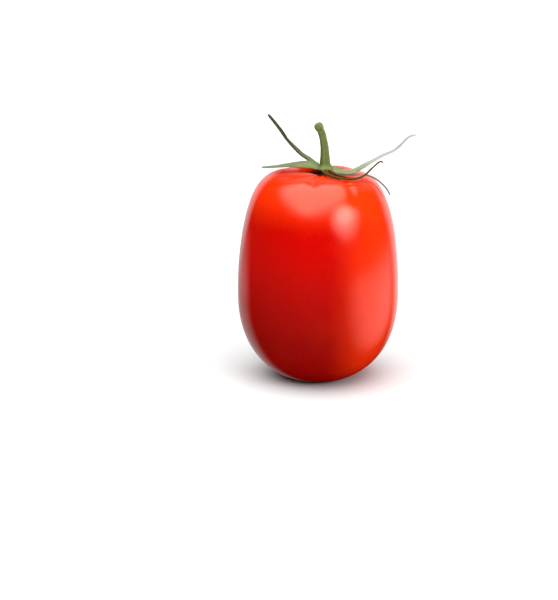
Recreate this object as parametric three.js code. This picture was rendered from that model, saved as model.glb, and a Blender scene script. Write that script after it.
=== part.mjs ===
// A ripe plum tomato standing on its blossom end, as picked: the fruit, its short stem and its five sepals.
// Millimetres, +Z up. The origin is the middle of the flat spot that the fruit rests on, on the fruit's axis.
// +X points along the long sepal, and -Y is the side of the open gap between the sepals.
import * as THREE from "three";

// Driving dimensions of the fruit
const GIRTH_RADIUS = 25; // at the widest girth
const GIRTH_HEIGHT = 27.4; // of the widest girth above the resting spot
const SHOULDER_RISE = 37.8; // from the widest girth to the top, before the stem dimple sinks in
const SHOULDER_SQUARENESS = 6.4; // superellipse power, 2 is an ellipse
const SHOULDER_TAPER = 0.23; // share of the radius lost towards the top
const REST_RADIUS = 8; // of the flat spot at the blossom end
const TIP_SQUARENESS = 2.3; // the blossom half is rounder than the shoulders

// The stem dimple sits a little off the fruit's axis, and furrows run out from it over the shoulders
const DIMPLE = { x: 1.5, y: 0, depth: 2, reach: 2.8 };
const FURROWS = [
  { azimuth: -59, depth: 0.32, width: 6 },
  { azimuth: -104, depth: 0.6, width: 8 },
  { azimuth: 38, depth: 0.3, width: 12 },
  { azimuth: 85, depth: 0.35, width: 11 },
  { azimuth: 140, depth: 0.3, width: 12 },
];
const FURROW_FADE = { from: 56, to: 63 }; // heights between which a furrow deepens to its full depth
const FURROW_START = 5; // distance from the dimple's middle at which a furrow is well formed
const LOBES = { count: 3, share: 0.008, turn: 25 }; // the girth is very slightly three-sided

// Driving dimensions of the stem, which swells to a knuckle where it parted from the truss
const STEM_ROUTE = [
  [2, 0, 64.6],
  [2, 0, 67.2],
  [1.9, 0.1, 71.6],
  [1.6, 0.1, 74.1],
  [1.25, 0.1, 75.9],
  [0.75, 0.05, 77.5],
  [0.1, 0, 78.9],
  [-0.7, -0.1, 80.2],
];
const STEM_RADIUS = 1.08;
const STEM_FLARE = { radius: 1.97, reach: 5.1 }; // where it spreads towards its foot
const STEM_SEAT = { bulge: 1.1, height: 66.2, reach: 0.7 }; // the ring that the sepals grow from
const STEM_KNUCKLE = { bulge: 0.28, beforeEnd: 1.3, reach: 1.6 };
const STEM_END = { length: 1.1, narrowing: 0.6 }; // the rounded end

// Driving dimensions of the sepals. A route starts at the seat of the calyx and ends at the tip.
// Width is the broadest place of the blade, which lies at a share of its length. Neck and tip are the widths
// at both ends as shares of it, and a taper under 1 narrows the blade soon after the broadest place.
// Gutter is how far the edges stand above the middle at the broadest place. Tilt turns the blade, in degrees.
const SEPAL_THICKNESS = 0.6;
const SEPALS = [
  {
    name: "sepal_left",
    width: 3.4,
    broadest: 0.2,
    neck: 0.55,
    tip: 0.2,
    taper: 1,
    gutter: 0.35,
    tilt: 22,
    route: [
      [-1.3, -0.25, 67],
      [-2.2, -0.35, 67.25],
      [-3.5, -0.5, 67.4],
      [-5.7, -0.7, 67.5],
      [-8.7, -0.8, 67.4],
      [-11.2, -0.7, 67],
      [-14.9, -0.5, 66.6],
      [-17.6, -0.3, 66.5],
    ],
  },
  {
    name: "sepal_upright_left",
    width: 3.4,
    broadest: 0.2,
    neck: 0.55,
    tip: 0.35,
    taper: 2.5,
    gutter: 0.5,
    tilt: -14,
    route: [
      [-0.4, 2.25, 66.4],
      [-1.2, 2.95, 66.9],
      [-3.3, 4.6, 68.2],
      [-5.8, 6.6, 69.8],
      [-9.5, 8.6, 73.4],
      [-12.3, 9.2, 76.9],
      [-15.8, 9.6, 81.3],
    ],
  },
  {
    name: "sepal_long_right",
    width: 3.2,
    broadest: 0.14,
    neck: 0.4,
    tip: 0.3,
    taper: 0.3,
    gutter: 0.3,
    tilt: -12,
    route: [
      [5.15, -1.85, 66.2],
      [5.9, -3.3, 66],
      [7.7, -4.4, 65.9],
      [10, -4.1, 66],
      [12.4, -1.7, 66.5],
      [15, 1.2, 67.4],
      [18, 3.4, 68.6],
      [20.4, 4.6, 69.6],
      [22.9, 5.6, 70.5],
      [24.9, 6.3, 71.9],
      [26.6, 6.8, 73.6],
      [28.1, 7.2, 74.8],
      [30.3, 7.5, 75.3],
    ],
  },
  {
    name: "sepal_drooping_right",
    width: 1.2,
    broadest: 0.2,
    neck: 0.6,
    tip: 0.45,
    taper: 1,
    gutter: 0.15,
    tilt: 10,
    route: [
      [3.5, -3, 66.1],
      [4.4, -5.6, 65.95],
      [6.5, -8.1, 65.7],
      [9.6, -9.5, 65.45],
      [12.4, -8.1, 65.4],
      [14.5, -5.2, 65.3],
      [16.8, -2.9, 64],
      [18.9, -1.7, 62.3],
      [20.8, -0.9, 60.2],
      [22.1, -0.4, 57.8],
    ],
  },
  {
    name: "sepal_curled_front",
    width: 1.8,
    broadest: 0.2,
    neck: 0.5,
    tip: 0.3,
    taper: 0.5,
    gutter: 0.2,
    tilt: 0,
    route: [
      [1.7, -3.4, 66.2],
      [2.6, -7.2, 65.95],
      [5.2, -10.3, 65.65],
      [8.2, -11.5, 65.4],
      [10.5, -11.2, 65.4],
      [12.6, -10, 65.5],
      [14.3, -8.5, 66.2],
      [15.8, -7.2, 67.4],
      [17.8, -5.8, 69],
      [19, -4.9, 69.5],
      [19.6, -4.5, 68.7],
    ],
  },
];

// Fineness of the meshes
const FRUIT_SEGMENTS = 72;
const SHOULDER_RINGS = 26;
const TIP_RINGS = 12;
const STEM_STEPS = 40;
const STEM_SIDES = 16;
const SEPAL_STEPS = 24;

const materials = {
  skin: new THREE.MeshStandardMaterial({ color: 0xd8120a, roughness: 0.28, metalness: 0 }),
  sepal: new THREE.MeshStandardMaterial({ color: 0x7f9156, roughness: 0.75, metalness: 0 }),
  stem: new THREE.MeshStandardMaterial({ color: 0x788a45, roughness: 0.65, metalness: 0 }),
};

const bell = (distance, reach) => Math.exp(-((distance / reach) ** 2));

// Fruit

// A point of the unit superellipse, at an angle from its upright axis.
function superellipse(angle, power) {
  const across = Math.sin(angle);
  const along = Math.cos(angle);
  const spread = (across ** power + along ** power) ** (-1 / power);
  return new THREE.Vector2(across * spread, along * spread);
}

// Half-profiles as points of radius and height.
function shoulderPoint(angle) {
  const { x, y } = superellipse(angle, SHOULDER_SQUARENESS);
  const narrowing = 1 - SHOULDER_TAPER * y ** 2;
  return new THREE.Vector2(GIRTH_RADIUS * x * narrowing, GIRTH_HEIGHT + SHOULDER_RISE * y);
}

function fruitProfile() {
  const restShare = REST_RADIUS / GIRTH_RADIUS;
  const dropShare = (1 - restShare ** TIP_SQUARENESS) ** (1 / TIP_SQUARENESS);
  const restAngle = Math.atan2(restShare, dropShare);
  const points = [new THREE.Vector2(0, 0), new THREE.Vector2(REST_RADIUS, 0)];
  for (let i = 1; i <= TIP_RINGS; i++) {
    const angle = THREE.MathUtils.lerp(restAngle, Math.PI / 2, i / TIP_RINGS);
    const { x, y } = superellipse(angle, TIP_SQUARENESS);
    points.push(new THREE.Vector2(GIRTH_RADIUS * x, GIRTH_HEIGHT * (1 - y / dropShare)));
  }
  for (let i = 1; i < SHOULDER_RINGS; i++) {
    points.push(shoulderPoint((Math.PI / 2) * (1 - i / SHOULDER_RINGS)));
  }
  points.push(new THREE.Vector2(0, GIRTH_HEIGHT + SHOULDER_RISE));
  return points;
}

// How far the furrows sink the skin at a point of the plain profile.
function furrowDepth(point) {
  const dx = point.x - DIMPLE.x;
  const dy = point.y - DIMPLE.y;
  const azimuth = THREE.MathUtils.radToDeg(Math.atan2(dy, dx));
  const fade = THREE.MathUtils.smoothstep(point.z, FURROW_FADE.from, FURROW_FADE.to);
  const start = 1 - bell(Math.hypot(dx, dy), FURROW_START);
  return FURROWS.reduce((sum, furrow) => {
    const away = THREE.MathUtils.euclideanModulo(azimuth - furrow.azimuth + 180, 360) - 180;
    return sum + furrow.depth * bell(away, furrow.width) * fade * start;
  }, 0);
}

function sculptFruit(point) {
  const plain = point.clone();
  const turn = Math.atan2(plain.y, plain.x) - THREE.MathUtils.degToRad(LOBES.turn);
  const swell = 1 + LOBES.share * Math.cos(LOBES.count * turn);
  point.x *= swell;
  point.y *= swell;
  if (plain.z > GIRTH_HEIGHT) {
    const middle = new THREE.Vector3(0, 0, GIRTH_HEIGHT);
    const outward = plain.clone().sub(middle).normalize();
    point.addScaledVector(outward, -furrowDepth(plain));
    point.z -= DIMPLE.depth * bell(Math.hypot(plain.x - DIMPLE.x, plain.y - DIMPLE.y), DIMPLE.reach);
  }
  return point;
}

function fruitGeometry() {
  const geometry = new THREE.LatheGeometry(fruitProfile(), FRUIT_SEGMENTS).rotateX(Math.PI / 2);
  const position = geometry.getAttribute("position");
  const point = new THREE.Vector3();
  for (let i = 0; i < position.count; i++) {
    sculptFruit(point.fromBufferAttribute(position, i));
    position.setXYZ(i, ...point);
  }
  return geometry;
}

// Sweeps

// A closed solid along a curve. sectionAt gives the outline, as points across and above the curve, at a
// share of its length. Across is level wherever the reference direction is up.
function sweep(curve, steps, sectionAt, reference) {
  const vertices = [];
  const faces = [];
  let sides = 0;
  for (let i = 0; i <= steps; i++) {
    const middle = curve.getPointAt(i / steps);
    const along = curve.getTangentAt(i / steps);
    const across = new THREE.Vector3().crossVectors(along, reference).normalize();
    const above = new THREE.Vector3().crossVectors(across, along);
    const section = sectionAt(i / steps);
    sides = section.length;
    for (const { x, y } of section) {
      const corner = middle.clone().addScaledVector(across, x).addScaledVector(above, y);
      vertices.push(...corner);
    }
  }
  for (let i = 0; i < steps; i++) {
    for (let j = 0; j < sides; j++) {
      const a = i * sides + j;
      const b = i * sides + ((j + 1) % sides);
      faces.push(a, b + sides, b, a, a + sides, b + sides);
    }
  }
  const last = steps * sides;
  for (let j = 1; j < sides - 1; j++) {
    faces.push(0, j, j + 1, last, last + j + 1, last + j);
  }
  const geometry = new THREE.BufferGeometry();
  geometry.setAttribute("position", new THREE.Float32BufferAttribute(vertices, 3));
  geometry.setIndex(faces);
  geometry.computeVertexNormals();
  return geometry;
}

const routeCurve = (route) => new THREE.CatmullRomCurve3(route.map((at) => new THREE.Vector3(...at)));

// Stem

function stemRadius(distance, length, height) {
  const flare = (STEM_FLARE.radius - STEM_RADIUS) * bell(distance, STEM_FLARE.reach);
  const seat = STEM_SEAT.bulge * bell(height - STEM_SEAT.height, STEM_SEAT.reach);
  const toEnd = length - distance;
  const knuckle = STEM_KNUCKLE.bulge * bell(toEnd - STEM_KNUCKLE.beforeEnd, STEM_KNUCKLE.reach);
  const endShare = Math.max(0, 1 - toEnd / STEM_END.length);
  const rounding = Math.sqrt(1 - STEM_END.narrowing * endShare ** 2);
  return (STEM_RADIUS + flare + seat + knuckle) * rounding;
}

function stemGeometry() {
  const curve = routeCurve(STEM_ROUTE);
  const length = curve.getLength();
  const sectionAt = (share) => {
    const radius = stemRadius(share * length, length, curve.getPointAt(share).z);
    return new THREE.EllipseCurve(0, 0, radius, radius).getPoints(STEM_SIDES).slice(0, STEM_SIDES);
  };
  return sweep(curve, STEM_STEPS, sectionAt, new THREE.Vector3(0, 1, 0));
}

// Sepals

// Width of the blade at a share of its length: a neck at the seat, a broad place, then a taper to the tip.
function sepalWidth(share, { width, broadest, neck, tip, taper }) {
  if (share < broadest) {
    const rise = Math.sin((Math.PI / 2) * (share / broadest));
    return width * THREE.MathUtils.lerp(neck, 1, rise);
  }
  const run = (share - broadest) / (1 - broadest);
  return width * THREE.MathUtils.lerp(1, tip, run ** taper);
}

// The blade's section is a shallow gutter, thickest along the midrib.
function sepalSection(width, gutter, tilt) {
  const stations = [-1, -0.5, 0, 0.5, 1];
  const shape = (station, side) => {
    const body = (side * SEPAL_THICKNESS * (1 - station ** 2)) / 2;
    return new THREE.Vector2((station * width) / 2, gutter * station ** 2 + body);
  };
  const lower = stations.map((station) => shape(station, -1));
  const upper = stations.slice(1, -1).reverse().map((station) => shape(station, 1));
  const middle = new THREE.Vector2();
  return [...lower, ...upper].map((point) => point.rotateAround(middle, THREE.MathUtils.degToRad(tilt)));
}

function sepalGeometry(sepal) {
  const sectionAt = (share) => {
    const width = sepalWidth(share, sepal);
    return sepalSection(width, (sepal.gutter * width) / sepal.width, sepal.tilt);
  };
  return sweep(routeCurve(sepal.route), SEPAL_STEPS, sectionAt, new THREE.Vector3(0, 0, 1));
}

// Assembly

function piece(name, geometry, material) {
  const mesh = new THREE.Mesh(geometry, material);
  mesh.name = name;
  return mesh;
}

const tomato = new THREE.Group();
tomato.add(piece("fruit", fruitGeometry(), materials.skin));

const calyx = new THREE.Group();
calyx.add(piece("stem", stemGeometry(), materials.stem));
for (const sepal of SEPALS) {
  calyx.add(piece(sepal.name, sepalGeometry(sepal), materials.sepal));
}
tomato.add(calyx);

export default tomato;
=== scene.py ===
"""A ripe plum tomato standing on its blossom end, with its stem and five sepals, in a white studio.

Metres, +Z up, in the part's own frame: the origin is the middle of the flat spot that the fruit rests on.
"""
import math

import bpy
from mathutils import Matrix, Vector


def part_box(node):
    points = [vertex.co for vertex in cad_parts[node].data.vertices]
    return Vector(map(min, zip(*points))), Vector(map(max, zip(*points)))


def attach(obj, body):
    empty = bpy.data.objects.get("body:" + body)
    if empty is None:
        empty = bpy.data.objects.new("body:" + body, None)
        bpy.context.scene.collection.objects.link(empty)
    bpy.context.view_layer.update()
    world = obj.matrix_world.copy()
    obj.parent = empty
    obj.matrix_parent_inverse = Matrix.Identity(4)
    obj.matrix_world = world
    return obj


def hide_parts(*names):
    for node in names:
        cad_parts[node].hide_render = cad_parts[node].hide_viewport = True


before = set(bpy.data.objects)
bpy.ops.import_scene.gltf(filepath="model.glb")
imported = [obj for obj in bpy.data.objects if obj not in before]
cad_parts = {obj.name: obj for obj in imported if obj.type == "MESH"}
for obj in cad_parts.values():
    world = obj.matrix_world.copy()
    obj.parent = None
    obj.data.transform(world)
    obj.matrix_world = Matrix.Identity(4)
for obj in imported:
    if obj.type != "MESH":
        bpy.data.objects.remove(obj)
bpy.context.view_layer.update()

MM = 0.001

# The fruit, whose girth comes from the frame
FRUIT_LOW, FRUIT_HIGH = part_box("fruit")
GIRTH_RADIUS = (FRUIT_HIGH.y - FRUIT_LOW.y) / 2
GIRTH_HEIGHT = 27.4 * MM
SHOULDER_RISE = 37.8 * MM
SHOULDER_POWER = 6.4
SHOULDER_TAPER = 0.23
REST_RADIUS = 8 * MM
TIP_POWER = 2.3
DIMPLE_X = 1.5 * MM
DIMPLE_DEPTH = 2.0 * MM
DIMPLE_REACH = 2.8 * MM
FURROW_LOW = 56 * MM
FURROW_HIGH = 63 * MM
FURROW_START = 5 * MM
# Azimuth in degrees, depth in millimetres and width in degrees of each shoulder furrow
FURROWS = [
    (-59, 0.32, 6),
    (-104, 0.6, 8),
    (38, 0.3, 12),
    (85, 0.35, 11),
    (140, 0.3, 12),
]
LOBE_COUNT = 3
LOBE_SHARE = 0.008
LOBE_TURN = math.radians(25)

# The stem's route, in millimetres, from the seat of the calyx to its broken end
STEM_ROUTE = [
    (2, 0, 62.4),
    (2, 0, 67.2),
    (1.9, 0.1, 71.6),
    (1.6, 0.1, 74.1),
    (1.25, 0.1, 75.9),
    (0.75, 0.05, 77.5),
    (0.1, 0, 78.9),
    (-0.7, -0.1, 80.2),
]
# The middle of the calyx, where the sepals grow together round the foot of the stem
CALYX_SEAT = Vector((2, 0, 66.2))
SEPAL_INSET = 0.55

# Each sepal's broadest width, gutter depth and, where it is thicker than most, thickness in millimetres, tilt
# and twist in degrees, the shares of its outline, how far painted shade darkens it to olive, how far it has
# dried (partly painted shade) and how pale it turns, and its route from the calyx to its tip. A dryness above
# 1 browns the blade from its base on; on the curled front sepal this is painted shade of the dark band under
# the calyx.
SEPALS = {
    "sepal_left": {
        "Width": 3.9,
        "Gutter": 0.35,
        "Tilt": 26,
        "Twist": -14,
        "Neck Share": 1.0,
        "Broadest At": 0.2,
        "Taper": 1.0,
        "Tip Share": 0.2,
        "Painted_Shade": 0.2,
        "Dryness_And_Shade": 0.35,
        "Paleness": 0.1,
        "route": [
            (-1.9, -0.3, 67.1),
            (-3.5, -0.5, 67.25),
            (-5.7, -0.7, 67.35),
            (-8.7, -0.8, 67.25),
            (-11.2, -0.7, 66.95),
            (-14.9, -0.5, 66.6),
            (-17.6, -0.3, 66.5),
        ],
    },
    "sepal_upright_left": {
        "Width": 3.4,
        "Gutter": 0.4,
        "Tilt": -9,
        "Twist": -20,
        "Neck Share": 0.9,
        "Broadest At": 0.2,
        "Taper": 2.5,
        "Tip Share": 0.35,
        "Thickness": 0.72,
        # Painted shade: seen from below, this blade is darkened to olive
        "Painted_Shade": 1.0,
        "Dryness_And_Shade": 0.12,
        "Paleness": 0.0,
        "route": [
            (-0.8, 2.6, 66.6),
            (-3.3, 4.6, 68.2),
            (-5.8, 6.6, 69.55),
            (-9.5, 8.6, 73.15),
            (-12.3, 9.2, 76.9),
            (-15.8, 9.6, 81.3),
        ],
    },
    "sepal_long_right": {
        "Width": 4.1,
        "Gutter": 0.3,
        "Tilt": -14,
        "Twist": 10,
        "Neck Share": 0.65,
        "Broadest At": 0.14,
        "Taper": 0.3,
        "Tip Share": 0.3,
        "Painted_Shade": 0.0,
        "Dryness_And_Shade": 0.0,
        "Paleness": 1.0,
        "route": [
            (4.4, -1.2, 66.2),
            (5.6, -3.2, 66),
            (7.7, -4.4, 65.8),
            (10, -4.1, 65.9),
            (12.4, -1.7, 66.5),
            (15, 1.2, 67.4),
            (18, 3.4, 68.6),
            (20.4, 4.6, 69.6),
            (22.9, 5.6, 70.5),
            (24.9, 6.3, 71.9),
            (26.6, 6.8, 73.6),
            (28.1, 7.2, 74.8),
            (30.3, 7.5, 75.3),
        ],
    },
    "sepal_drooping_right": {
        "Width": 1.2,
        "Gutter": 0.15,
        "Tilt": 10,
        "Twist": 0,
        "Neck Share": 0.8,
        "Broadest At": 0.2,
        "Taper": 1.0,
        "Tip Share": 0.45,
        "Painted_Shade": 1.0,
        "Dryness_And_Shade": 4.0,
        "Paleness": 0.7,
        "route": [
            (3.9, -3.2, 66.1),
            (4.8, -5.6, 65.85),
            (6.6, -8, 65.6),
            (9.6, -9.5, 65.35),
            (12.4, -8.1, 65.35),
            (14.5, -5.2, 65.3),
            (16.8, -2.9, 64),
            (18.9, -1.7, 62.3),
            (20.8, -0.9, 60.2),
            (22.1, -0.4, 57.8),
        ],
    },
    "sepal_curled_front": {
        "Width": 1.8,
        "Gutter": 0.2,
        "Tilt": 0,
        "Twist": 0,
        "Neck Share": 0.75,
        "Broadest At": 0.2,
        "Taper": 0.5,
        "Tip Share": 0.3,
        # Painted shade: darkened to olive and browned from its base like the shaded band under the calyx;
        # only its curled tip is really dry
        "Painted_Shade": 1.0,
        "Dryness_And_Shade": 6.0,
        "Paleness": 0.0,
        "route": [
            (1.7, -3.3, 66.2),
            (2.7, -7.2, 65.9),
            (5.2, -10.2, 65.55),
            (8.2, -11.4, 65.35),
            (10.5, -11.1, 65.35),
            (12.6, -10, 65.5),
            (14.3, -8.5, 66.2),
            (15.8, -7.2, 67.4),
            (17.8, -5.8, 69),
            (19, -4.9, 69.5),
            (19.6, -4.5, 68.7),
        ],
    },
}


# Camera

CAMERA_PLACE = (0, -580 * MM, 189 * MM)
CAMERA_TILT = math.radians(15.854)
CAMERA_TURN = math.radians(1.196)
CAMERA_LENS = 115.99


def place_camera():
    """Stand the camera where the fruit has the photograph's size, place and viewing angle."""
    data = bpy.data.cameras.new("camera")
    data.lens = CAMERA_LENS
    data.sensor_width = 36
    camera = bpy.data.objects.new("camera", data)
    camera.location = CAMERA_PLACE
    camera.rotation_euler = (math.pi / 2 - CAMERA_TILT, 0, CAMERA_TURN)
    bpy.context.scene.collection.objects.link(camera)
    bpy.context.scene.camera = camera


# Node arithmetic


def plug(tree, value, socket):
    """Feed a socket from a number or arrow of the tree, or set it to a plain value."""
    if isinstance(value, (Number, Arrow)):
        tree.links.new(value.socket, socket)
    elif isinstance(value, bpy.types.NodeSocket):
        tree.links.new(value, socket)
    else:
        socket.default_value = value


def add_node(tree, kind, inputs=None, **settings):
    node = tree.nodes.new(kind)
    for key, value in settings.items():
        setattr(node, key, value)
    for key, value in (inputs or {}).items():
        plug(tree, value, node.inputs[key])
    return node


class Number:
    """A number in a node tree, so that a rule can be written as arithmetic."""

    def __init__(self, tree, socket):
        self.tree = tree
        self.socket = socket

    def math(self, operation, *operands):
        values = dict(enumerate(operands))
        node = add_node(self.tree, "ShaderNodeMath", values, operation=operation)
        return Number(self.tree, node.outputs[0])

    def __add__(self, other):
        return self.math("ADD", self, other)

    def __radd__(self, other):
        return self.math("ADD", other, self)

    def __sub__(self, other):
        return self.math("SUBTRACT", self, other)

    def __rsub__(self, other):
        return self.math("SUBTRACT", other, self)

    def __mul__(self, other):
        return self.math("MULTIPLY", self, other)

    def __rmul__(self, other):
        return self.math("MULTIPLY", other, self)

    def __truediv__(self, other):
        return self.math("DIVIDE", self, other)

    def __rtruediv__(self, other):
        return self.math("DIVIDE", other, self)

    def __pow__(self, other):
        return self.math("POWER", self, other)

    def __neg__(self):
        return self.math("MULTIPLY", self, -1)

    def __abs__(self):
        return self.math("ABSOLUTE", self)

    def at_least(self, other):
        return self.math("MAXIMUM", self, other)

    def at_most(self, other):
        return self.math("MINIMUM", self, other)

    def root(self):
        return self.math("SQRT", self)

    def cosine(self):
        return self.math("COSINE", self)

    def sine(self):
        return self.math("SINE", self)

    def above(self, other):
        return self.math("GREATER_THAN", self, other)

    def bell(self, reach):
        """1 where this number is 0, falling away over the reach on both sides."""
        share = self / reach
        return self.math("EXPONENT", -(share * share))

    def ramp(self, low, high):
        """0 at low and 1 at high, with soft ends."""
        values = {"Value": self, "From Min": low, "From Max": high}
        node = add_node(self.tree, "ShaderNodeMapRange", values, interpolation_type="SMOOTHSTEP")
        return Number(self.tree, node.outputs["Result"])

    def between(self, low, high):
        """low where this number is 0 and high where it is 1."""
        return low + (high - low) * self


class Arrow:
    """A vector in a node tree."""

    def __init__(self, tree, socket):
        self.tree = tree
        self.socket = socket

    def math(self, operation, *operands, output="Vector"):
        values = dict(enumerate(operands))
        node = add_node(self.tree, "ShaderNodeVectorMath", values, operation=operation)
        return node.outputs[output]

    def __add__(self, other):
        return Arrow(self.tree, self.math("ADD", self, other))

    def __sub__(self, other):
        return Arrow(self.tree, self.math("SUBTRACT", self, other))

    def __mul__(self, size):
        node = add_node(self.tree, "ShaderNodeVectorMath", {0: self}, operation="SCALE")
        plug(self.tree, size, node.inputs["Scale"])
        return Arrow(self.tree, node.outputs["Vector"])

    def cross(self, other):
        return Arrow(self.tree, self.math("CROSS_PRODUCT", self, other))

    def dot(self, other):
        return Number(self.tree, self.math("DOT_PRODUCT", self, other, output="Value"))

    def unit(self):
        return Arrow(self.tree, self.math("NORMALIZE", self))

    def length(self):
        return Number(self.tree, self.math("LENGTH", self, output="Value"))

    def split(self):
        node = add_node(self.tree, "ShaderNodeSeparateXYZ", {0: self})
        return [Number(self.tree, output) for output in node.outputs]


def arrow(tree, x, y, z):
    node = add_node(tree, "ShaderNodeCombineXYZ", {0: x, 1: y, 2: z})
    return Arrow(tree, node.outputs[0])


def noise(tree, where, scale, detail=2.0):
    """A smooth random number round one half, with patches of about one over the scale in metres."""
    values = {"Vector": where, "Scale": scale, "Detail": detail}
    node = add_node(tree, "ShaderNodeTexNoise", values)
    return Number(tree, node.outputs[0])


def mix_colours(tree, share, low, high):
    node = add_node(tree, "ShaderNodeMix", {0: share, 6: low, 7: high}, data_type="RGBA")
    return node.outputs[2]


# Geometry trees

SOCKETS = {float: "NodeSocketFloat", int: "NodeSocketInt", bpy.types.Material: "NodeSocketMaterial"}


def new_tree(name, sizes):
    """A geometry tree with a named input for each size. Gives the tree and its inputs."""
    tree = bpy.data.node_groups.new(name, "GeometryNodeTree")
    tree.interface.new_socket("Geometry", in_out="INPUT", socket_type="NodeSocketGeometry")
    tree.interface.new_socket("Geometry", in_out="OUTPUT", socket_type="NodeSocketGeometry")
    for size, value in sizes.items():
        tree.interface.new_socket(size, in_out="INPUT", socket_type=SOCKETS[type(value)])
    entry = tree.nodes.new("NodeGroupInput")
    inputs = {socket.name: Number(tree, socket) for socket in entry.outputs if socket.name}
    return tree, inputs


def end_tree(tree, shape, finish):
    """Close a tree with smooth shading, whole geometry and one material."""
    smooth = add_node(tree, "GeometryNodeSetShadeSmooth", {"Geometry": shape})
    whole = add_node(tree, "GeometryNodeRealizeInstances", {"Geometry": smooth.outputs[0]})
    coated = add_node(tree, "GeometryNodeSetMaterial", {"Geometry": whole.outputs[0], "Material": finish})
    exit_node = tree.nodes.new("NodeGroupOutput")
    tree.links.new(coated.outputs[0], exit_node.inputs[0])


def keep_number(tree, shape, name, value):
    """Store a number on the points of a shape, for its material to read."""
    values = {"Geometry": shape, "Name": name, "Value": value}
    return add_node(tree, "GeometryNodeStoreNamedAttribute", values).outputs[0]


def grow(name, tree, start, sizes):
    """Run a geometry tree over a starting mesh and keep the result as a plain mesh."""
    piece = bpy.data.objects.new(name, start)
    bpy.context.scene.collection.objects.link(piece)
    grower = piece.modifiers.new("grow", "NODES")
    grower.node_group = tree
    for item in tree.interface.items_tree:
        if item.in_out == "INPUT" and item.name in sizes:
            grower[item.identifier] = sizes[item.name]
    depsgraph = bpy.context.evaluated_depsgraph_get()
    evaluated = piece.evaluated_get(depsgraph)
    grown = bpy.data.meshes.new_from_object(evaluated, preserve_all_data_layers=True, depsgraph=depsgraph)
    piece.modifiers.remove(grower)
    piece.data = grown
    grown.name = name
    return piece


def route_mesh(name, points):
    """A line of points in millimetres as a mesh of edges in metres, for a tree to grow along."""
    mesh = bpy.data.meshes.new(name)
    corners = [Vector(point) * MM for point in points]
    mesh.from_pydata(corners, [(i, i + 1) for i in range(len(corners) - 1)], [])
    return mesh


def smooth_route(tree, geometry):
    """The starting mesh's line as a smooth, evenly sampled curve."""
    curve = add_node(tree, "GeometryNodeMeshToCurve", {"Mesh": geometry})
    kind = add_node(
        tree, "GeometryNodeCurveSplineType", {"Curve": curve.outputs[0]}, spline_type="CATMULL_ROM"
    )
    even = add_node(tree, "GeometryNodeResampleCurve", {"Curve": kind.outputs[0], "Count": 96})
    return even.outputs[0]


def sample_route(tree, curve, share):
    """The place and the direction of a curve at a share of its length."""
    node = add_node(tree, "GeometryNodeSampleCurve", {"Curves": curve, "Factor": share}, mode="FACTOR")
    return Arrow(tree, node.outputs["Position"]), Arrow(tree, node.outputs["Tangent"])


def unit_grid(tree, along_count, across_count):
    """A flat grid one metre square, with its two shares from 0 to 1."""
    values = {"Size X": 1.0, "Size Y": 1.0, "Vertices X": along_count, "Vertices Y": across_count}
    grid = add_node(tree, "GeometryNodeMeshGrid", values).outputs["Mesh"]
    x, y, _ = Arrow(tree, tree.nodes.new("GeometryNodeInputPosition").outputs[0]).split()
    return grid, x + 0.5, y + 0.5


def named(tree, name):
    node = add_node(tree, "GeometryNodeInputNamedAttribute", {"Name": name}, data_type="FLOAT")
    return Number(tree, node.outputs[0])


def set_position(tree, shape, place):
    return add_node(tree, "GeometryNodeSetPosition", {"Geometry": shape, "Position": place}).outputs[0]


# Materials


def new_material(name):
    """A material with its node tree and its principled shader."""
    material = bpy.data.materials.new(name)
    material.use_nodes = True
    tree = material.node_tree
    return material, tree, tree.nodes["Principled BSDF"]


def object_place(tree):
    return Arrow(tree, tree.nodes.new("ShaderNodeTexCoord").outputs["Object"])


def surface_number(tree, name):
    node = add_node(tree, "ShaderNodeAttribute", attribute_name=name)
    return Number(tree, node.outputs["Fac"])


def add_bump(tree, shader, height, distance, strength=1.0):
    node = add_node(tree, "ShaderNodeBump", {"Height": height, "Distance": distance, "Strength": strength})
    tree.links.new(node.outputs["Normal"], shader.inputs["Normal"])


# Painted shade: the skin darkens to this low red towards the bottom
LOW_SHADE_RED = (0.24, 0.001, 0.0005, 1)
DEEP_RED = (0.45, 0.0014, 0.0005, 1)
# Orange red: partly the shoulders' own tone, partly painted light on the lit top and right side
WARM_AND_LIT_RED = (0.76, 0.03, 0.002, 1)
# Painted shade in the hollow under the calyx
HOLLOW_SHADE_BROWN = (0.14, 0.012, 0.001, 1)
FLECK_AMBER = (0.8, 0.05, 0.006, 1)
SCAR_BROWN = (0.16, 0.07, 0.025, 1)

# Heights over which the painted shade low down gives way to deep red and the shoulders turn warm, partly
# their own tone and partly painted light, and how far to the right painted light warms the skin too
LOW_SHADE_HEIGHTS = (14 * MM, 50 * MM)
WARM_AND_LIT_HEIGHTS = (49 * MM, 62 * MM)
PAINTED_LIGHT_RIGHT = (2 * MM, 20 * MM)
WARM_AND_LIT_SHARE = 0.85
MOTTLE_SHARE = 0.3
FLECK_SHARE = 0.1
# The painted shade of the hollow under the calyx at the stem's foot, and the dull crown round it, as their
# middle and where they fade out
HOLLOW_SHADE_MIDDLE = (0.7 * MM, -1.5 * MM)
HOLLOW_SHADE_FADE = (2.2 * MM, 5.4 * MM)
CROWN_MIDDLE = (-1 * MM, 3 * MM)
CROWN_FADE = (5 * MM, 13 * MM)
SCAR_RADIUS = 1.6 * MM
SHINE_HEIGHTS = (1 * MM, 16 * MM)
SKIN_ROUGHNESS = (0.1, 0.16)


def distance_from(tree, place, middle):
    """How far a place lies, seen from above, from a middle."""
    x, y, _ = place.split()
    return arrow(tree, x - middle[0], y - middle[1], 0).length()


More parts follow.
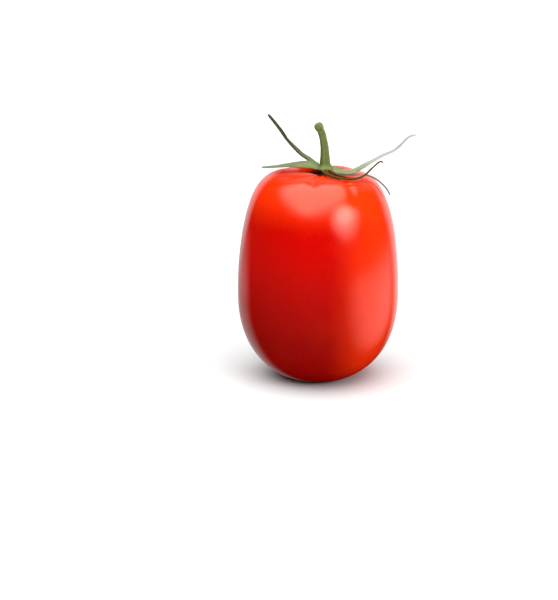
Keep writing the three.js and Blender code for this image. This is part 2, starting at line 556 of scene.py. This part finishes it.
def tomato_skin():
    """Glossy red skin with painted shade low down and in the hollow under the calyx, warmer at the shoulders
    (partly painted light) and with painted light to the right, fine flecks and a brown blossom scar.
    """
    material, tree, shader = new_material("tomato_skin")
    place = object_place(tree)
    x, _, z = place.split()
    upper = z.above(GIRTH_HEIGHT)
    mottle = noise(tree, place, 70, 3) - 0.5
    # Painted light: the skin warms towards the right; on the shoulders the warmth is partly their own tone
    # and partly painted light
    warmth_and_light = (z.ramp(*WARM_AND_LIT_HEIGHTS) + x.ramp(*PAINTED_LIGHT_RIGHT)) * WARM_AND_LIT_SHARE + mottle * MOTTLE_SHARE
    # Painted shade: deeper red low down
    shaded_low_colour = mix_colours(tree, z.ramp(*LOW_SHADE_HEIGHTS), LOW_SHADE_RED, DEEP_RED)
    colour = mix_colours(tree, warmth_and_light, shaded_low_colour, WARM_AND_LIT_RED)

    # Painted shade: dark brown in the hollow under the calyx at the stem's foot
    hollow_shade = (1 - distance_from(tree, place, HOLLOW_SHADE_MIDDLE).ramp(*HOLLOW_SHADE_FADE)) * upper
    colour = mix_colours(tree, hollow_shade, colour, HOLLOW_SHADE_BROWN)

    flecks = noise(tree, place, 1400, 1).ramp(0.6, 0.75) * FLECK_SHARE
    colour = mix_colours(tree, flecks, colour, FLECK_AMBER)

    scar = distance_from(tree, place, (0, 0)).bell(SCAR_RADIUS) * (1 - upper)
    colour = mix_colours(tree, scar, colour, SCAR_BROWN)
    tree.links.new(colour, shader.inputs["Base Color"])

    polish = noise(tree, place, 260, 3).between(*SKIN_ROUGHNESS)
    plug(tree, polish, shader.inputs["Roughness"])
    add_bump(tree, shader, noise(tree, place, 1900, 2), 0.02 * MM, 0.35)
    dull_crown = upper * (1 - distance_from(tree, place, CROWN_MIDDLE).ramp(*CROWN_FADE))
    shine = z.ramp(*SHINE_HEIGHTS) * (1 - dull_crown) * 0.5
    plug(tree, shine, shader.inputs["Specular IOR Level"])
    shader.inputs["IOR"].default_value = 1.5
    shader.inputs["Specular Tint"].default_value = (1, 0.88, 0.74, 1)
    shader.inputs["Subsurface Weight"].default_value = 0.12
    shader.inputs["Subsurface Radius"].default_value = (1.0, 0.12, 0.04)
    shader.inputs["Subsurface Scale"].default_value = 2.5 * MM
    return material


LEAF_GREEN = (0.09, 0.135, 0.03, 1)
LEAF_GREY_GREEN = (0.165, 0.205, 0.08, 1)
# Painted shade on blades seen from below or edge-on
LEAF_PAINTED_SHADE = (0.055, 0.075, 0.022, 1)
LEAF_RIB = (0.23, 0.27, 0.1, 1)
# Dry brown, also painted shade on the curled front sepal
LEAF_DRY_AND_SHADE = (0.085, 0.035, 0.004, 1)
LEAF_PALE = (0.29, 0.29, 0.275, 1)
SIDE_VEINS = 16
VEIN_SLANT = 1.4
# The shares of a sepal's length over which painted shade darkens it to olive, it dries (partly painted shade)
# and it turns pale
PAINTED_SHADE_FADE = (0.2, 0.55)
DRY_AND_SHADE_FADE = (-0.15, 0.7)
PALE_FADE = (0.2, 0.62)


def sepal_leaf():
    """Matt grey-green leaf with a pale midrib and side veins, in places darkened to olive by painted shade,
    dry brown (partly painted shade) or pale.
    """
    material, tree, shader = new_material("sepal_leaf")
    place = object_place(tree)
    along = surface_number(tree, "along")
    across = surface_number(tree, "across")
    mottle = noise(tree, place, 500, 4)
    colour = mix_colours(tree, mottle.ramp(0.3, 0.7), LEAF_GREEN, LEAF_GREY_GREEN)
    # Painted shade: blades seen from below or edge-on are darkened to olive
    painted_shade = surface_number(tree, "painted_shade") * (along + mottle * 0.3).ramp(*PAINTED_SHADE_FADE)
    colour = mix_colours(tree, painted_shade, colour, LEAF_PAINTED_SHADE)

    vein_count = along * SIDE_VEINS - abs(across) * VEIN_SLANT
    side_veins = (vein_count * (2 * math.pi)).sine().ramp(0.7, 1.0)
    midrib = across.bell(0.12)
    veins = (midrib + side_veins * 0.35).at_most(1)
    colour = mix_colours(tree, veins * 0.5 * (1 - painted_shade), colour, LEAF_RIB)

    # Dry brown margins and tips; on the curled front sepal the browning from the base is painted shade
    margin = abs(across).ramp(0.75, 1.0) * 0.4
    dryness_and_shade = surface_number(tree, "dryness_and_shade") * (along + (mottle - 0.5) * 0.4).ramp(*DRY_AND_SHADE_FADE)
    colour = mix_colours(tree, dryness_and_shade.at_least(margin), colour, LEAF_DRY_AND_SHADE)
    paleness = surface_number(tree, "paleness") * (along + (mottle - 0.5) * 0.2).ramp(*PALE_FADE)
    colour = mix_colours(tree, paleness, colour, LEAF_PALE)
    tree.links.new(colour, shader.inputs["Base Color"])

    plug(tree, mottle.between(0.55, 0.8), shader.inputs["Roughness"])
    plug(tree, 0.5 - dryness_and_shade.at_most(1) * 0.45, shader.inputs["Specular IOR Level"])
    add_bump(tree, shader, mottle * 0.6 - veins * 0.5, 0.12 * MM, 0.6)
    shader.inputs["Subsurface Weight"].default_value = 0.15
    shader.inputs["Subsurface Radius"].default_value = (0.5, 1.0, 0.2)
    shader.inputs["Subsurface Scale"].default_value = 0.6 * MM
    return material


STEM_GREEN = (0.06, 0.09, 0.015, 1)
STEM_LIGHT_GREEN = (0.165, 0.21, 0.045, 1)
STEM_LOW_GREEN = (0.085, 0.12, 0.008, 1)
STEM_END_BROWN = (0.12, 0.1, 0.03, 1)
# Painted shade under the calyx at the stem's foot
STEM_FOOT_SHADE_BROWN = (0.05, 0.035, 0.01, 1)
STEM_LOW_HEIGHTS = (66 * MM, 78 * MM)
STEM_FOOT_SHADE_HEIGHTS = (65 * MM, 66.6 * MM)
STEM_END_FADE = (0.93, 0.99)
STEM_RIBS = 5


def stem_rind():
    """Ribbed green stalk, yellower low down, with painted shade darkening its foot under the calyx, and
    browned where it broke off.
    """
    material, tree, shader = new_material("stem_rind")
    place = object_place(tree)
    along = surface_number(tree, "along")
    around = surface_number(tree, "around")
    x, y, z = place.split()
    streaks = noise(tree, arrow(tree, x, y, z * 0.18), 1500, 3)
    ribs = (around * (2 * math.pi * STEM_RIBS)).cosine() * 0.5 + 0.5
    colour = mix_colours(tree, streaks * 0.7 + ribs * 0.4 - 0.1, STEM_GREEN, STEM_LIGHT_GREEN)
    colour = mix_colours(tree, 0.6 - z.ramp(*STEM_LOW_HEIGHTS) * 0.6, colour, STEM_LOW_GREEN)
    brown = (along + (streaks - 0.5) * 0.06).ramp(*STEM_END_FADE)
    colour = mix_colours(tree, brown, colour, STEM_END_BROWN)
    # Painted shade: the foot under the calyx darkens to brown
    foot = 1 - (z + (streaks - 0.5) * 0.6 * MM).ramp(*STEM_FOOT_SHADE_HEIGHTS)
    colour = mix_colours(tree, foot, colour, STEM_FOOT_SHADE_BROWN)
    tree.links.new(colour, shader.inputs["Base Color"])
    plug(tree, streaks.between(0.5, 0.75), shader.inputs["Roughness"])
    add_bump(tree, shader, streaks, 0.1 * MM, 0.6)
    shader.inputs["Subsurface Weight"].default_value = 0.1
    shader.inputs["Subsurface Radius"].default_value = (0.5, 1.0, 0.2)
    shader.inputs["Subsurface Scale"].default_value = 0.6 * MM
    return material


HAIR_ROOT = (0.12, 0.16, 0.05, 1)
HAIR_TIP = (0.28, 0.33, 0.16, 1)


def hair_down():
    """Pale fine down, in slightly different shades from hair to hair."""
    material, tree, shader = new_material("hair_down")
    shade = noise(tree, object_place(tree), 900, 1)
    tree.links.new(mix_colours(tree, shade, HAIR_ROOT, HAIR_TIP), shader.inputs["Base Color"])
    shader.inputs["Roughness"].default_value = 0.6
    return material


# Fruit


def furrow_sum(tree, dx, dy):
    """How deep the furrows lie under a point at that offset from the stem dimple."""
    away = arrow(tree, dx, dy, 0).length().at_least(0.01 * MM)
    total = None
    for azimuth, depth, width in FURROWS:
        turn = math.radians(azimuth)
        nearness = (dx * math.cos(turn) + dy * math.sin(turn)) / away
        spread = 2 / math.radians(width) ** 2
        furrow = nearness.math("EXPONENT", (nearness - 1) * spread) * (depth * MM)
        total = furrow if total is None else total + furrow
    return total


FRUIT_SIZES = {
    "Girth Radius": GIRTH_RADIUS,
    "Girth Height": GIRTH_HEIGHT,
    "Shoulder Rise": SHOULDER_RISE,
    "Shoulder Power": SHOULDER_POWER,
    "Shoulder Taper": SHOULDER_TAPER,
    "Tip Drop": GIRTH_HEIGHT / (1 - (REST_RADIUS / GIRTH_RADIUS) ** TIP_POWER) ** (1 / TIP_POWER),
    "Tip Power": TIP_POWER,
    "Dimple Depth": DIMPLE_DEPTH,
    "Dimple Reach": DIMPLE_REACH,
    "Unevenness": 0.35 * MM,
    "Segments": 200,
    "Rings": 150,
}


def fruit_tree(skin):
    """A ball drawn out into the fruit's superellipse profile, then furrowed, dimpled and made uneven."""
    tree, size = new_tree("plum_tomato_fruit", {**FRUIT_SIZES, "Skin": skin})
    counts = {"Segments": size["Segments"], "Rings": size["Rings"], "Radius": 1.0}
    ball = add_node(tree, "GeometryNodeMeshUVSphere", counts).outputs["Mesh"]
    ball_x, ball_y, ball_z = Arrow(tree, tree.nodes.new("GeometryNodeInputPosition").outputs[0]).split()

    upper = ball_z.above(0)
    power = upper.between(size["Tip Power"], size["Shoulder Power"])
    reach = (ball_x * ball_x + ball_y * ball_y).root()
    spread = (reach**power + abs(ball_z) ** power) ** (-1 / power)
    height = abs(ball_z) * spread
    rise = upper * size["Shoulder Rise"] * height
    drop = (1 - upper) * size["Tip Drop"] * height
    z = size["Girth Height"] + rise - drop
    narrowing = 1 - upper * size["Shoulder Taper"] * height * height

    turn = ball_x.math("ARCTAN2", ball_y, ball_x) - LOBE_TURN
    swell = (turn * LOBE_COUNT).cosine() * LOBE_SHARE + 1
    radius = size["Girth Radius"] * spread * narrowing * swell
    x = ball_x * radius
    y = ball_y * radius
    plain = arrow(tree, x, y, z)

    dx = x - DIMPLE_X
    from_dimple = arrow(tree, dx, y, 0).length()
    grown = z.ramp(FURROW_LOW, FURROW_HIGH) * (1 - from_dimple.bell(FURROW_START))
    furrow = furrow_sum(tree, dx, y) * grown
    bumps = (noise(tree, plain, 55, 1) - 0.5) * size["Unevenness"] * z.ramp(4 * MM, 16 * MM)
    outward = (plain - arrow(tree, 0, 0, size["Girth Height"])).unit()
    dimple = from_dimple.bell(size["Dimple Reach"]) * size["Dimple Depth"] * upper
    place = plain + outward * (bumps - furrow) - arrow(tree, 0, 0, dimple)
    px, py, pz = place.split()
    shape = set_position(tree, ball, arrow(tree, px, py, pz.at_least(0)))
    end_tree(tree, shape, size["Skin"])
    return tree


# Stem

STEM_SIZES = {
    "Radius": 1.08 * MM,
    "Flare Radius": 2.03 * MM,
    "Flare Reach": 7.3 * MM,
    "Seat Bulge": 1.1 * MM,
    "Seat Reach": 0.7 * MM,
    "Knuckle Bulge": 0.28 * MM,
    "Knuckle Before End": 1.3 * MM,
    "Knuckle Reach": 1.6 * MM,
    "Collar Groove": 0.14 * MM,
    "End Length": 1.1 * MM,
    "Rib Height": 0.09 * MM,
    "Steps": 90,
    "Sides": 49,
}


def stem_tree(rind):
    """A ribbed stalk along its route, with a flared foot, the calyx's seat and a knuckle at its end."""
    tree, size = new_tree("tomato_stem", {**STEM_SIZES, "Rind": rind})
    curve = smooth_route(tree, size["Geometry"])
    length = Number(tree, add_node(tree, "GeometryNodeCurveLength", {0: curve}).outputs[0])
    grid, along, around = unit_grid(tree, size["Steps"], size["Sides"])
    middle, heading = sample_route(tree, curve, along)
    side = heading.cross((0, 1, 0)).unit()
    front = heading.cross(side)

    gone = along * length
    left = length - gone
    flare = gone.bell(size["Flare Reach"]) * (size["Flare Radius"] - size["Radius"])
    seat = (middle.split()[2] - CALYX_SEAT.z * MM).bell(size["Seat Reach"]) * size["Seat Bulge"]
    knuckle = (left - size["Knuckle Before End"]).bell(size["Knuckle Reach"]) * size["Knuckle Bulge"]
    groove = (left - size["Knuckle Before End"] * 1.9).bell(0.4 * MM) * size["Collar Groove"]
    angle = around * (2 * math.pi)
    ribs = (angle * STEM_RIBS + along * 2).cosine() * size["Rib Height"] * (1.3 - along)
    rough = noise(tree, middle + arrow(tree, angle.cosine(), angle.sine(), 0) * MM, 900, 2) - 0.5
    radius = size["Radius"] + flare + seat + knuckle - groove + ribs + rough * 0.25 * MM
    rounding = (1 - ((size["End Length"] - left).at_least(0) / size["End Length"]) ** 2.4).at_least(0).root()
    # The first ring has no radius, so that the foot is closed by a flat disc
    foot = (along * 1000).at_most(1)
    radius = radius * rounding * foot
    place = middle + side * (radius * angle.cosine()) + front * (radius * angle.sine())

    kept = keep_number(tree, grid, "along", along)
    kept = keep_number(tree, kept, "around", around)
    shape = set_position(tree, kept, place)
    closed = add_node(tree, "GeometryNodeMergeByDistance", {"Geometry": shape, "Distance": 0.002 * MM})
    end_tree(tree, closed.outputs[0], size["Rind"])
    return tree


# Sepals

# Each end is rounded over one part in this many of the length
SEPAL_END_PARTS = 30
SEPAL_SIZES = {
    "Width": 4 * MM,
    "Neck Share": 0.62,
    "Tip Share": 0.12,
    "Broadest At": 0.3,
    "Taper": 1.0,
    "Gutter": 0.5 * MM,
    "Thickness": 0.42 * MM,
    "Rib Groove": 0.16 * MM,
    "Wave": 0.3 * MM,
    "Tilt": 0.0,
    "Twist": 0.0,
    "Painted_Shade": 0.0,
    "Dryness_And_Shade": 0.0,
    "Paleness": 0.0,
    "Seed": 1.0,
    "Steps": 110,
    "Stations": 25,
}


def sepal_tree(leaf):
    """A leaf blade along its route: two faces that meet at the margin, guttered, waved, round at its ends."""
    tree, size = new_tree("tomato_sepal", {**SEPAL_SIZES, "Leaf": leaf})
    curve = smooth_route(tree, size["Geometry"])
    grid, along, station = unit_grid(tree, size["Steps"], size["Stations"])
    flipped = add_node(tree, "GeometryNodeFlipFaces", {"Mesh": grid}).outputs[0]
    upper = keep_number(tree, grid, "face", 1.0)
    lower = keep_number(tree, flipped, "face", -1.0)
    faces = tree.nodes.new("GeometryNodeJoinGeometry")
    tree.links.new(lower, faces.inputs[0])
    tree.links.new(upper, faces.inputs[0])

    across = 1 - station * 2
    rise = ((along / size["Broadest At"]).at_most(1) * (math.pi / 2)).sine()
    run = ((along - size["Broadest At"]) / (1 - size["Broadest At"])).at_least(0)
    share = rise.between(size["Neck Share"], 1) * (run ** size["Taper"]).between(1, size["Tip Share"])
    ragged = noise(tree, arrow(tree, along * 9, across.above(0) * 7, size["Seed"]), 1, 2) - 0.5
    ends = (along * SEPAL_END_PARTS).at_most(1) * ((1 - along) * SEPAL_END_PARTS).at_most(1)
    rounding = ends.root()
    half = size["Width"] * share * (1 + ragged * 0.3) * rounding / 2

    gutter = size["Gutter"] * share * across * across
    groove = size["Rib Groove"] * across.bell(0.16) * share
    ripple = noise(tree, arrow(tree, along * 5, across * 0.8, size["Seed"] + 20), 1, 1) - 0.5
    wave = size["Wave"] * ripple * (abs(across) ** 1.5)
    body = size["Thickness"] / 2 * ((1 - across * across).at_least(0) * ends).root()
    level = (gutter - groove + wave) * rounding + named(tree, "face") * body
    reach = half * across

    middle, heading = sample_route(tree, curve, along)
    level_side = heading.cross((0, 0, 1)).unit()
    level_up = level_side.cross(heading)
    turn = size["Tilt"] + size["Twist"] * along
    side = level_side * turn.cosine() + level_up * turn.sine()
    up = level_up * turn.cosine() - level_side * turn.sine()
    place = middle + side * reach + up * level

    kept = keep_number(tree, faces.outputs[0], "along", along)
    kept = keep_number(tree, kept, "across", across)
    for tone in ("Painted_Shade", "Dryness_And_Shade", "Paleness"):
        kept = keep_number(tree, kept, tone.lower(), size[tone])
    shape = set_position(tree, kept, place)
    closed = add_node(tree, "GeometryNodeMergeByDistance", {"Geometry": shape, "Distance": 0.001 * MM})
    end_tree(tree, closed.outputs[0], size["Leaf"])
    return tree


def make_sepals(leaf):
    """The five sepals by name."""
    tree = sepal_tree(leaf)
    sepals = {}
    for number, (name, sepal) in enumerate(SEPALS.items()):
        start = CALYX_SEAT.lerp(Vector(sepal["route"][0]), 1 - SEPAL_INSET)
        own_sizes = {key: float(value) for key, value in sepal.items() if key in SEPAL_SIZES}
        for key in {"Width", "Gutter", "Thickness"} & own_sizes.keys():
            own_sizes[key] *= MM
        for key in ("Tilt", "Twist"):
            own_sizes[key] = math.radians(own_sizes[key])
        sizes = {**SEPAL_SIZES, **own_sizes, "Seed": 3.0 * number, "Leaf": leaf}
        route = route_mesh(name, [start, *sepal["route"]])
        sepals[name] = grow("tomato_" + name, tree, route, sizes)
    return sepals


# Down on the stem and the green sepals

DOWNY_SEPALS = ("sepal_left", "sepal_upright_left", "sepal_long_right")
HAIR_LEAN_LOW = (-0.7, -0.7, -0.4)
HAIR_LEAN_HIGH = (0.7, 0.7, 0.7)
HAIR_SCALES = (0.4, 1.2)
HAIR_SIZES = {
    "Density": 3.0 / MM**2,
    "Length": 0.5 * MM,
    "Thickness": 0.028 * MM,
    "Seed": 7,
}


def hair_tree(down):
    """Short tapered hairs that stand on a surface, leaning a little each way."""
    tree, size = new_tree("calyx_hairs", {**HAIR_SIZES, "Down": down})
    values = {"Mesh": size["Geometry"], "Density": size["Density"], "Seed": size["Seed"]}
    spread = add_node(tree, "GeometryNodeDistributePointsOnFaces", values, distribute_method="RANDOM")
    shape = {
        "Vertices": 3,
        "Side Segments": 1,
        "Radius Top": 0.0,
        "Radius Bottom": size["Thickness"],
        "Depth": size["Length"],
    }
    hair = add_node(tree, "GeometryNodeMeshCone", shape).outputs["Mesh"]
    lean = add_node(tree, "FunctionNodeRandomValue", {"Seed": size["Seed"]}, data_type="FLOAT_VECTOR")
    lean.inputs["Min"].default_value = HAIR_LEAN_LOW
    lean.inputs["Max"].default_value = HAIR_LEAN_HIGH
    heading = Arrow(tree, spread.outputs["Normal"]) + Arrow(tree, lean.outputs["Value"])
    turn = add_node(tree, "FunctionNodeAlignRotationToVector", {"Vector": heading}, axis="Z")
    grade = add_node(tree, "FunctionNodeRandomValue", {"Seed": size["Seed"]}, data_type="FLOAT")
    grade.inputs[2].default_value, grade.inputs[3].default_value = HAIR_SCALES
    values = {
        "Points": spread.outputs["Points"],
        "Instance": hair,
        "Rotation": turn.outputs["Rotation"],
        "Scale": grade.outputs[1],
    }
    hairs = add_node(tree, "GeometryNodeInstanceOnPoints", values)
    end_tree(tree, hairs.outputs[0], size["Down"])
    return tree


def joined_mesh(name, pieces):
    """One mesh with the faces of all the pieces."""
    corners = []
    faces = []
    for piece in pieces:
        first = len(corners)
        corners += [vertex.co for vertex in piece.data.vertices]
        faces += [[first + index for index in face.vertices] for face in piece.data.polygons]
    mesh = bpy.data.meshes.new(name)
    mesh.from_pydata(corners, [], faces)
    return mesh


# Studio

FLOOR_REACH = 8.0
FLOOR_GREY = (0.62, 0.62, 0.62, 1)


def studio_floor():
    """A wide pale floor that the fruit stands on."""
    mesh = bpy.data.meshes.new("studio_floor")
    r = FLOOR_REACH
    mesh.from_pydata([(-r, -r, 0), (r, -r, 0), (r, r, 0), (-r, r, 0)], [], [(0, 1, 2, 3)])
    floor = bpy.data.objects.new("studio_floor", mesh)
    bpy.context.scene.collection.objects.link(floor)
    material, _, shader = new_material("white_sweep")
    shader.inputs["Base Color"].default_value = FLOOR_GREY
    shader.inputs["Roughness"].default_value = 0.9
    shader.inputs["Specular IOR Level"].default_value = 0.1
    mesh.materials.append(material)
    floor.visible_glossy = False


# Soft lights as azimuth and elevation, the angles from their middle at which they fade out and are full, all
# in degrees, how many times wider than high they are, and their brightness. Azimuth 0 is in front of the
# fruit and 90 is at the right.
OVERHEAD_LIGHT = (-20, 75, 56, 27, 1, 4.0)
FRONT_RIGHT_LIGHTS = [
    (49, 23.5, 20, 0, 1.6, 5.0),
    (48, 24, 12, 0, 1.6, 4.4),
]
# How far to the right the overhead light begins to be cut off and is gone
OVERHEAD_CUT = (0.63, 0.77)
# Pale walls as azimuth and elevation in degrees, the cosines of the angles from their middle at which they
# fade out and are full, and their brightness
PALE_WALLS = [
    (157, 0, 0.86, 0.97, 1.05),
    (-156, 2, 0.91, 0.985, 0.85),
    (160, 45, 0.77, 0.97, 0.5),
]
# Pale table tops: how far below level they begin and are full, the left one as the walls above, and how far
# to the right the right one begins and is full
TABLE_DROP = (0.04, 0.25)
LEFT_TABLE = (-150, -15, 0.82, 0.97, 0.6)
RIGHT_TABLE = (0.6, 0.97)
RIGHT_TABLE_BRIGHTNESS = 1.45


def direction(azimuth, elevation):
    turn = math.radians(azimuth)
    lift = math.radians(elevation)
    return (math.sin(turn) * math.cos(lift), -math.cos(turn) * math.cos(lift), math.sin(lift))


def pale_patch(toward, azimuth, elevation, outer, inner, brightness):
    """How bright a round patch of wall is in the direction looked at."""
    return toward.dot(direction(azimuth, elevation)).ramp(outer, inner) * brightness


def soft_light(toward, azimuth, elevation, outer, inner, stretch, brightness):
    """How bright an oval light is in the direction looked at."""
    aside = direction(azimuth + 90, 0)
    narrowed = toward - arrow(toward.tree, *aside) * (toward.dot(aside) * (1 - 1 / stretch))
    nearness = narrowed.unit().dot(direction(azimuth, elevation))
    return nearness.ramp(math.cos(math.radians(outer)), math.cos(math.radians(inner))) * brightness


def studio_surroundings():
    """A dark room with soft lights overhead and at the front right, and pale walls and tables to mirror."""
    world = bpy.data.worlds.new("white_studio")
    world.use_nodes = True
    tree = world.node_tree
    toward = Arrow(tree, tree.nodes.new("ShaderNodeTexCoord").outputs["Generated"])
    x, _, z = toward.split()
    below = (-z).ramp(*TABLE_DROP)
    right_table = below * x.ramp(*RIGHT_TABLE) * RIGHT_TABLE_BRIGHTNESS
    brightness = right_table.at_least(below * pale_patch(toward, *LEFT_TABLE))
    for wall in PALE_WALLS:
        brightness = brightness.at_least(pale_patch(toward, *wall))
    brightness = brightness + soft_light(toward, *OVERHEAD_LIGHT) * (1 - x.ramp(*OVERHEAD_CUT))
    for light in FRONT_RIGHT_LIGHTS:
        brightness = brightness + soft_light(toward, *light)

    seen = Number(tree, tree.nodes.new("ShaderNodeLightPath").outputs["Is Camera Ray"])
    background = tree.nodes["Background"]
    background.inputs["Color"].default_value = (1, 1, 1, 1)
    plug(tree, seen.between(brightness, 1), background.inputs["Strength"])
    bpy.context.scene.world = world


# Assembly


def finish_piece(piece, slot, *nodes):
    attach(piece, "root")
    if nodes:
        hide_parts(*nodes)


place_camera()

skin = tomato_skin()
fruit = grow("tomato_fruit", fruit_tree(skin), bpy.data.meshes.new("fruit"), {**FRUIT_SIZES, "Skin": skin})
rind = stem_rind()
stem = grow("tomato_stem", stem_tree(rind), route_mesh("stem", STEM_ROUTE), {**STEM_SIZES, "Rind": rind})
sepals = make_sepals(sepal_leaf())
down = hair_down()
downy = joined_mesh("calyx", [stem, *(sepals[name] for name in DOWNY_SEPALS)])
hairs = grow("calyx_hairs", hair_tree(down), downy, {**HAIR_SIZES, "Down": down})

finish_piece(fruit, "skin", "fruit")
finish_piece(stem, "stem", "stem")
for node, sepal in sepals.items():
    finish_piece(sepal, "sepal", node)
finish_piece(hairs, "sepal")

studio_floor()
studio_surroundings()
bpy.context.scene.view_settings.view_transform = "Standard"
